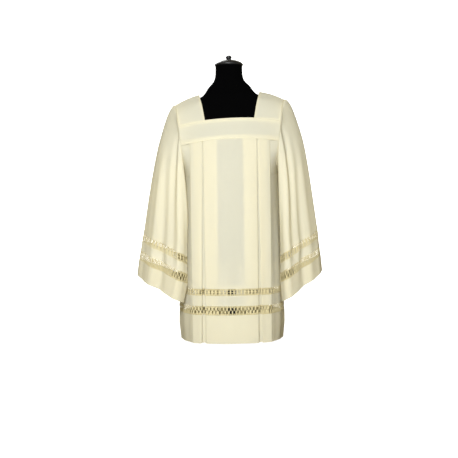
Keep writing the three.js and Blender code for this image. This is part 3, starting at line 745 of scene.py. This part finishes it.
# -------- lace
# Charts of one repeat: u is the place across it from -0.5 to 0.5, v up the strip from 0 to 1.
# A cord runs along the whole strip; a bar is a list of u, v and half width in mm; a knot is its
# u, v and radius. Fine threads are worked across the gaps of CLOSE_WORK alone.
LACE_PITCH = 14.07


def uprights(half, places, *spans):
    """Straight bars up the strip at some places across it, over some spans of its height."""
    return [[(u, low, half), (u, high, half)] for u in places for low, high in spans]


LADDER = dict(
    cords=rows("v half", (0.03, 0.9), (0.17, 0.8), (0.83, 0.8), (0.97, 0.9)),
    bars=[[(-0.5, 0.17, 1.5), (-0.5, 0.3, 2.5), (-0.5, 0.5, 2.8), (-0.5, 0.7, 2.5), (-0.5, 0.83, 1.5)],
          [(-0.5, 0.5, 1.0), (0.0, 0.5, 0.6), (0.5, 0.5, 1.0)]]
    + uprights(1.1, (-0.5, 0.0), (0.03, 0.17), (0.83, 0.97)),
    fine=uprights(0.7, (-0.21, 0.21), (0.17, 0.83))
    + [[(-0.4, v, 0.6), (0.4, v, 0.6)] for v in (0.33, 0.67)],
    knots=[(0.0, 0.5, 1.5)],
)
ZIGZAG = dict(
    cords=rows("v half", (0.03, 0.9), (0.12, 0.8), (0.88, 0.8), (0.97, 0.9)),
    bars=[[(0.0, 0.12, 1.4), (0.0, 0.22, 2.4), (0.0, 0.34, 2.7), (0.0, 0.46, 1.2)],
          [(-0.5, 0.54, 1.2), (-0.5, 0.66, 2.7), (-0.5, 0.78, 2.4), (-0.5, 0.88, 1.4)]]
    + [[(0.0, 0.44, 0.9), (u / 2, 0.5, 0.7), (u, 0.56, 0.9)] for u in (0.5, -0.5)]
    + uprights(1.1, (-0.5, 0.0), (0.03, 0.12), (0.88, 0.97)),
    fine=uprights(0.7, (-0.66, -0.5, -0.34), (0.12, 0.47))
    + uprights(0.7, (-0.16, 0.0, 0.16), (0.53, 0.88)),
    knots=[(-0.5, 0.14, 1.3), (0.0, 0.86, 1.3)],
)
# Shares of a strip's length that are worked more closely.
CLOSE_WORK = dict(body=dict(front=((0.0, 0.12), (0.88, 1.0)), back=((0.0, 1.0),)),
                  sleeve=dict(front=((0.0, 0.5),), back=((0.0, 1.0),)))
THREAD_SIDES = 6
THREAD_FLATNESS = 0.42  # a bundle's thickness as a share of its width
KNOT = dict(sides=8, tall=0.9, thick=0.75)


class Strip:
    """Places points on a strip of lace by distance along it, share up it and height off it."""

    def __init__(self, bottom, top, outward):
        self.bottom, self.top = bottom, top
        self.normal = normals_of(np.stack([bottom, top]), False)[0] * outward
        self.along = lengths_along((bottom + top) / 2)
        self.length = self.along[-1]

    def point(self, s, v):
        low, high = (read_along(s, self.along, edge) for edge in (self.bottom, self.top))
        v = np.asarray(v, float)[..., None]
        return low * (1 - v) + high * v

    def out(self, s):
        return unit(read_along(s, self.along, self.normal))


def add_thread(builder, line, out, half_width, flatness=THREAD_FLATNESS):
    """A flat bundle of thread swept along a line, pointed ends closed."""
    direction = unit(np.gradient(line, axis=0))
    side = unit(np.cross(out, direction))
    half = np.broadcast_to(np.asarray(half_width, float), (len(line),))[:, None]
    angles = 2 * np.pi * np.arange(THREAD_SIDES) / THREAD_SIDES
    rings = [line + side * half * math.cos(a) + out * half * flatness * math.sin(a) for a in angles]
    add_closed_loft(builder, np.stack(rings, axis=1))


def add_knot(builder, centre, out, up, radius):
    """A small flattened knot, pointed towards both faces of the lace."""
    side = np.cross(up, out)
    n = KNOT["sides"]
    ring = [centre + side * radius * math.cos(a) + up * radius * KNOT["tall"] * math.sin(a)
            for a in 2 * np.pi * np.arange(n) / n]
    tip = out * radius * KNOT["thick"]
    faces = [(i, (i + 1) % n, n) for i in range(n)] + [((i + 1) % n, i, n + 1) for i in range(n)]
    builder.add(ring + [centre + tip, centre - tip], faces)


def add_lace(builder, strip, chart, close_work):
    """The cords, bars and knots of a strip, and fine threads where it is worked closely."""
    repeats = max(1, round(strip.length / LACE_PITCH))
    pitch = strip.length / repeats
    for cord in chart["cords"]:
        s = strip.along
        line = strip.point(s, np.full(len(s), cord["v"]))
        add_thread(builder, line, strip.out(s), cord["half"])
    for i in range(repeats):
        centre = (i + 0.5) * pitch
        share = (i + 0.5) / repeats
        close = any(start <= share <= end for start, end in close_work)
        for bar in chart["bars"] + (chart["fine"] if close else []):
            u, v, half = np.array(bar).T
            s = np.clip(centre + u * pitch, 0.5, strip.length - 0.5)
            add_thread(builder, strip.point(s, v), strip.out(s), half)
        for u, v, radius in chart["knots"]:
            s = float(np.clip(centre + u * pitch, 1, strip.length - 1))
            up = unit(strip.point(s, 1.0) - strip.point(s, 0.0))
            add_knot(builder, strip.point(s, v), strip.out(s), up, radius)


# -------- sleeves
def armhole_ring():
    """The sleeve's first ring, lapped just off the armhole; right-hand side."""
    front = ARMHOLE * (1, -1, 1)
    ring = np.concatenate([front, ARMHOLE[-2:0:-1]])
    step = np.minimum(np.arange(RING), RING - np.arange(RING))
    low = smoothstep(step, 0, SHOULDER_END)
    lap = ARMHOLE_LAP["top"] + (ARMHOLE_LAP["side"] - ARMHOLE_LAP["top"]) * low
    away = unit(np.stack([np.ones(RING), ring[:, 1] / ARMHOLE_LAP["start"], np.zeros(RING)], axis=1))
    return ring + away * lap[:, None]


def body_reach(z, y, hand):
    """Distance from the centre to the body's side at this height and depth, or 0 beside it."""
    level = min(z, LEVEL["underarm"])
    start = (LAST_FOLD, panel_depth(level, LAST_FOLD, "front") - 2 * LAYER)
    if z > LEVEL["underarm"] or abs(y) > start[1]:
        return 0.0
    bend = side_curve(start, side_end(level, hand), np.linspace(0, 1, 60)[:, None])
    return float(np.interp(abs(y), bend[::-1, 1], bend[::-1, 0]))


def ring_folds(around, hand):
    """Height of the soft folds at places round a sleeve."""
    height = np.zeros_like(around)
    for fold in SLEEVE_FOLDS:
        height += fold[hand] * np.exp(-((around - fold["at"]) / fold["width"]) ** 2)
    return height


def sleeve_station(row, down, hand):
    """One free ring of a sleeve, outer edge first, then front, inner edge and back."""
    outer_x = row["outer_x"] + HAND[hand]["head"] * (1 - down) + HAND[hand]["reach"] * down
    corner_x = row[hand]
    width = outer_x - corner_x
    inner_x = body_reach(row["inner_z"], 0, hand) + SLEEVE_CLEAR
    shoulder_x = outer_x - SLEEVE_PLAN["shoulder_x"] * width
    front_x = outer_x - SLEEVE_PLAN["front_x"] * width
    half = [(outer_x, 0), (shoulder_x, SLEEVE_PLAN["shoulder_y"] * row["depth"]),
            (front_x, row["depth"]), (corner_x, row["front"])]
    plan = [(x, -y) for x, y in half] + [(inner_x, 0)] + [(x, y) for x, y in half[:0:-1]]
    ring = spaced(catmull(plan, 24, closed=True), RING)
    tangent = unit(np.roll(ring, -1, 0) - np.roll(ring, 1, 0))
    outward = np.stack([-tangent[:, 1], tangent[:, 0]], axis=1)
    rise = (ring[:, 0] - corner_x) / width
    sag = row["sag"] * np.abs(ring[:, 1]) / row["depth"]
    outer_z = row["outer_z"] + HAND[hand]["lift"] * down
    z = row["inner_z"] + (outer_z - row["inner_z"]) * rise - sag
    folds = ring_folds(np.arange(RING) / RING, hand) * row["free"]
    folds = folds * (FOLD_START + (1 - FOLD_START) * down)
    return np.concatenate([ring + outward * folds[:, None], z[:, None]], axis=1)


def sleeve_grid(hand):
    """Rings of a sleeve, SLEEVE_STEPS to each stretch between stations, the armhole first."""
    armhole = armhole_ring()
    stations = [armhole]
    for i, row in enumerate(SLEEVE):
        ring = sleeve_station(row, (i + 1) / len(SLEEVE), hand)
        ring = armhole + (ring - armhole) * row["free"]
        stations.append(kept_clear(ring, row["free"], hand))
    return add_creases(catmull(np.array(stations), SLEEVE_STEPS), hand)


def kept_clear(ring, free, hand):
    """The ring again, pushed out of the body where it would enter its side."""
    ring = ring.copy()
    for point in ring:
        reach = body_reach(point[2], point[1], hand)
        if reach > 0:
            point[0] = max(point[0], reach + SLEEVE_CLEAR * free)
    return ring


def add_creases(grid, hand):
    """The sleeve with its finer creases, kept clear of the body and put on its own side."""
    normal = normals_of(grid, True)
    if normal[len(grid) // 2, 0, 0] < 0:
        normal = -normal
    down = (np.arange(len(grid)) / (len(grid) - 1))[:, None]
    around = (np.arange(RING) / RING)[None, :]
    height = np.zeros((len(grid), RING))
    for row in SLEEVE_CREASES:
        at = np.interp(down, (0.2, 0.55, 1.0), (row["top"], row["middle"], row["bottom"]))
        fade = faded(down, row["start"], row["end"], *CREASE_FADE["sleeve"])
        away = (around - at + 0.5) % 1 - 0.5
        height += row[hand] * fade * np.exp(-(away / row["width"]) ** 2)
    grid = grid + normal * height[..., None]
    spread = CREASE_CLEAR["below"] - CREASE_CLEAR["top"]
    for r in range(len(grid)):
        clear = spread * smoothstep(r, 0, CREASE_CLEAR["rings"]) + CREASE_CLEAR["top"]
        grid[r] = kept_clear(grid[r], clear, hand)
    return grid * (HAND[hand]["sign"], 1, 1)


# -------- dress form
def torso_rings():
    """Rounded-square rings of the torso, shoulders and neck, from the bottom up."""
    table = columns(TORSO, "z side front back")
    angles = 2 * np.pi * np.arange(TORSO_POINTS) / TORSO_POINTS
    power = 2 / TORSO_SQUARENESS
    across, back_and_forth = (np.sign(a) * np.abs(a) ** power for a in (np.cos(angles), np.sin(angles)))
    rings = []
    for z, side, front, back in catmull(table, TORSO_STEPS):
        depth = np.where(back_and_forth > 0, back, front)
        height = np.full(TORSO_POINTS, min(z, table[-1][0]))
        rings.append(np.stack([side * across, depth * back_and_forth, height], axis=1))
    return np.array(rings)


def lathe_rings(profile, segments=72):
    """Rings of a turned part, from radius and height pairs."""
    angles = 2 * np.pi * np.arange(segments) / segments
    circle = np.stack([np.cos(angles), np.sin(angles), np.zeros(segments)], axis=1)
    return np.array([circle * radius + (0, 0, z) for radius, z in profile])


# -------- the pieces
IVORY = cloth_material("ivory_cloth", (0.880, 0.860, 0.745), (0.915, 0.900, 0.795), (0.87, 0.81, 0.60),
                       0.9, 0.40, 0.42)
# The lace's colours are painted shade: far darker and more golden than the cloth, though its thread is the
# same cream, to stand for the shade over its holes and in its folds.
LACE_WITH_PAINTED_SHADE = cloth_material("ivory_lace", (0.54, 0.46, 0.25), (0.70, 0.62, 0.38), (0.70, 0.61, 0.33),
                            0.8, 0.15, 0.0)


def cloth(name, grid, out, stitched=(), doubled=(), pressed=(), closed=False):
    """A piece with its turned edges, rows of stitches and pressed seams: it and its grid, by name."""
    builder = Builder()
    grid = inset(grid, closed)
    add_shell(builder, grid, out, closed)
    for used in doubled:
        add_allowance(builder, grid, out, used, closed)
    for row in stitched:
        stitch_row(builder, grid, out, row, closed)
    for line in pressed:
        add_pressed_seam(builder, line, level_normal(line, out))
    return {name: (builder.finish(f"cloth_{name}", IVORY, "ivory_cloth", name), grid)}


def lace(name, bottom, top, out, chart, close_work):
    """A strip of lace and its grid, by name."""
    builder = Builder()
    add_lace(builder, Strip(bottom, top, out), chart, close_work)
    piece = builder.finish(f"thread_{name}", LACE_WITH_PAINTED_SHADE, "ivory_lace", name)
    return {name: (piece, np.stack([bottom, top]))}


def make_body(face):
    """All the pieces of the front or back, from the pleated panel down, and the yoke."""
    out = outward_of(face)
    both_edges = dict(stitched=(1, -2), doubled=(slice(0, 2), slice(-2, None)))

    def pleated(levels):
        return np.array([pleated_row(level, face) for level in levels])

    def strip(place, chart):
        bottom, top = LEVEL[f"{place}_lace_bottom"] + LACE_SEAM, LEVEL[f"{place}_lace_top"] - LACE_SEAM
        return lace(f"lace_{place}_{face}", *pleated((bottom, top)), out, chart, CLOSE_WORK["body"][face])

    band = levels_between(LEVEL["low_lace_top"], LEVEL["high_lace_bottom"], "band")
    hem = levels_between(LEVEL["hem"], LEVEL["low_lace_bottom"], "hem")
    return {
        **cloth(f"panel_{face}", pleated(panel_levels()), out, stitched=(2,), doubled=(slice(0, 2),)),
        **strip("high", LADDER),
        **cloth(f"band_{face}", pleated(band), out, **both_edges),
        **strip("low", ZIGZAG),
        **cloth(f"hem_{face}", pleated(hem), out, stitched=(-2,), doubled=(slice(None),)),
        **make_yoke(face),
    }


def level_normal(line, outward):
    """Outward direction along a level line of the body."""
    run = unit(np.gradient(line, axis=0))
    return unit(np.cross(run, (0, 0, 1))) * outward


def make_yoke(face):
    """The yoke between the armholes, its points closer together towards them."""
    levels = [level_of(x, z) for x, _, z in ARMHOLE[SHOULDER_END:YOKE_END + 1][::-1]]
    levels[0], levels[-1] = LEVEL["yoke_bottom"], LEVEL["yoke_top"]
    even = np.linspace(-1, 1, YOKE_STEPS + 1)
    shares = even * 0.75 + np.sin(even * math.pi / 2 * 0.999) * 0.25
    grid = np.array([yoke_row(level, face, shares) for level in levels])
    seams = [yoke_row(level, face, shares * 0.995)
             for level in (LEVEL["yoke_bottom"] + YOKE_SEAM, LEVEL["yoke_top"] - YOKE_SEAM)]
    return cloth(f"yoke_{face}", grid, outward_of(face), stitched=(3, -4),
                 doubled=(slice(0, 4), slice(-4, None)), pressed=seams)


def shoulder_rows(sign):
    """A shoulder piece from the front yoke over the top to the back yoke, neck to armhole."""
    shares = np.linspace(0, 1, SHOULDER_STEPS + 1)
    yoke_end = side_end(LEVEL["yoke_top"])[0]
    corner = yoke_row(LEVEL["yoke_top"], "front", np.array([NECK_CORNER_X / yoke_end]))[0]
    neck = np.concatenate([columns(NECK_EDGE, "x y z"), [corner * (1, -1, 1)]])
    edge = catmull(np.concatenate([neck[:0:-1] * (1, -1, 1), neck]), ARMHOLE_STEPS)
    arm = ARMHOLE[:SHOULDER_END + 1]
    arm = np.concatenate([arm[:0:-1] * (1, -1, 1), arm])
    seam_x = edge[-1, 0] + (arm[-1, 0] - edge[-1, 0]) * shares
    seam = yoke_row(LEVEL["yoke_top"], "front", seam_x / yoke_end) * (1, -1, 1)
    grid = []
    for i, (near, far) in enumerate(zip(edge, arm)):
        step = abs(i - SHOULDER_END) / SHOULDER_END
        facing = math.copysign(1, i - SHOULDER_END) if i != SHOULDER_END else 1
        crown = (SHOULDER_CROWN * 4 * shares * (1 - shares))[:, None]
        line = near + (far - near) * shares[:, None]
        line = line + crown * np.array([0, facing * step, 1 - step])
        on_seam = seam * (1, facing, 1)
        blend = smoothstep(step, 0.6, 1.0)
        grid.append(line * (1 - blend) + on_seam * blend)
    return np.array(grid) * (sign, -1, 1)


def make_shoulder(hand):
    """The shoulder piece with turned-in edges all round: the piece and its grid, by name."""
    grid = inset(shoulder_rows(HAND[hand]["sign"]))
    out = 1 if normals_of(grid, False)[SHOULDER_END, 0, 2] > 0 else -1
    builder = Builder()
    add_shell(builder, grid, out)
    turned = grid.transpose(1, 0, 2)
    for used in (slice(0, 3), slice(-3, None)):
        add_allowance(builder, grid, out, used)
        add_allowance(builder, turned[:, 3:-3], -out, used)
    normal = normals_of(turned, False) * -out
    stitch_row(builder, turned, -out, 2)
    stitch_row(builder, turned, -out, -2)
    add_pressed_seam(builder, turned[0] + unit(turned[1] - turned[0]) * 1.6, normal[0], 1.6, 0.9)
    add_pressed_seam(builder, turned[-1] + unit(turned[-2] - turned[-1]) * 3.2, normal[-1], 3.0, 0.9)
    name = f"shoulder_{hand}"
    return {name: (builder.finish(f"cloth_{name}", IVORY, "ivory_cloth", name), grid)}


def make_sleeve(hand):
    """All the pieces of a sleeve, from the armhole down; their rows run up, as elsewhere."""
    grid = sleeve_grid(hand)
    out = HAND[hand]["sign"]
    station = {key: index * SLEEVE_STEPS for key, index in SLEEVE_BANDS.items()}
    made = {}
    for name, start, end, stitched, doubled in (
            ("sleeve", 0, station["high_lace"], (1, -3), (slice(0, 2), slice(-3, None))),
            ("sleeve_band", station["middle"], station["low_lace"], (1, -2), (slice(0, 2), slice(-2, None))),
            ("cuff", station["cuff"], station["end"], (-2,), (slice(None),))):
        part = grid[start:end + 1][::-1]
        made.update(cloth(f"{name}_{hand}", part, out, stitched, doubled, closed=True))
    for place, chart in (("high", LADDER), ("low", ZIGZAG)):
        start = station[f"{place}_lace"]
        top, bottom = grid[start], grid[start + SLEEVE_STEPS]
        gap = unit(top - bottom) * LACE_SEAM
        for face, first in (("front", 0), ("back", RING // 2)):
            half = np.arange(first, first + RING // 2 + 1) % RING
            made.update(lace(f"sleeve_lace_{place}_{hand}_{face}", (bottom + gap)[half],
                             (top - gap)[half], out, chart, CLOSE_WORK["sleeve"][face]))
    return made


def make_form():
    """The limbless dress form: jersey torso, turned cap, painted pole and base."""
    jersey = jersey_material()
    satin = worn_material("cap_moulding", (0.004, 0.004, 0.005), (0.012, 0.012, 0.014), (0.35, 0.5), 30)
    enamel = worn_material("black_enamel", (0.010, 0.010, 0.011), (0.02, 0.02, 0.022), (0.3, 0.5), 25)
    cap = [tuple(point) for point in catmull(columns(CAP, "r z"), CAP_STEPS)]
    cap.append((CAP_TIP, CAP[-1]["z"]))
    pole = [(POLE_RADIUS, BASE["height"] + FORM_GAP), (POLE_RADIUS, TORSO[0]["z"] - FORM_GAP)]
    radius, height, bevel = BASE["radius"], BASE["height"], BASE["bevel"]
    base = [(radius - 1, 0), (radius, 1)]
    for angle in np.linspace(0, math.pi / 2, 6):
        base.append((radius - bevel * (1 - math.cos(angle)), height - bevel * (1 - math.sin(angle))))
    for name, rings, material, slot, node in (
            ("form_jersey_torso", torso_rings(), jersey, "form_jersey", "form_torso"),
            ("form_turned_cap", lathe_rings(cap), satin, "form_cap", "form_cap"),
            ("form_painted_pole", lathe_rings(pole), enamel, "form_pole", "form_pole"),
            ("form_painted_base", lathe_rings(base, 96), enamel, "form_base", "form_base")):
        builder = Builder()
        add_closed_loft(builder, rings)
        builder.finish(name, material, slot, node)


def half_surface(piece):
    """Half of a mesh's surface, in square metres: what its threads cover."""
    return sum(face.area for face in piece.data.polygons) / 2


TWO_LAYERS = ("hem", "cuff")  # turned up to their full depth
LEAST_COVER = 0.31  # smallest share of its flat size that the worked-out area of lace is raised to


def declare(made):
    """Works out the cut of every cloth piece, but does not use it; the area of lace is what its threads
    cover.
    """
    for name, (piece, grid) in made.items():
        closed = name.startswith(("sleeve_left", "sleeve_right", "sleeve_band", "cuff"))
        width, length, area = cut_of(grid, closed)
        turned = 2 * ALLOWANCE["cut"] * MM
        if "lace" in name:
            area = half_surface(piece)
        elif name.startswith(TWO_LAYERS):
            length, area = length * 2, area * 2
        else:
            length, area = length + turned, area + turned * width
        area = min(max(area, LEAST_COVER * width * length), width * length)


add_camera()
bpy.context.scene.view_settings.view_transform = "Standard"
add_lights()
add_stage()

pieces = {}
for each in ("front", "back"):
    pieces.update(make_body(each))
for each in ("left", "right"):
    pieces.update(make_sleeve(each))
    pieces.update(make_shoulder(each))
make_form()
declare(pieces)
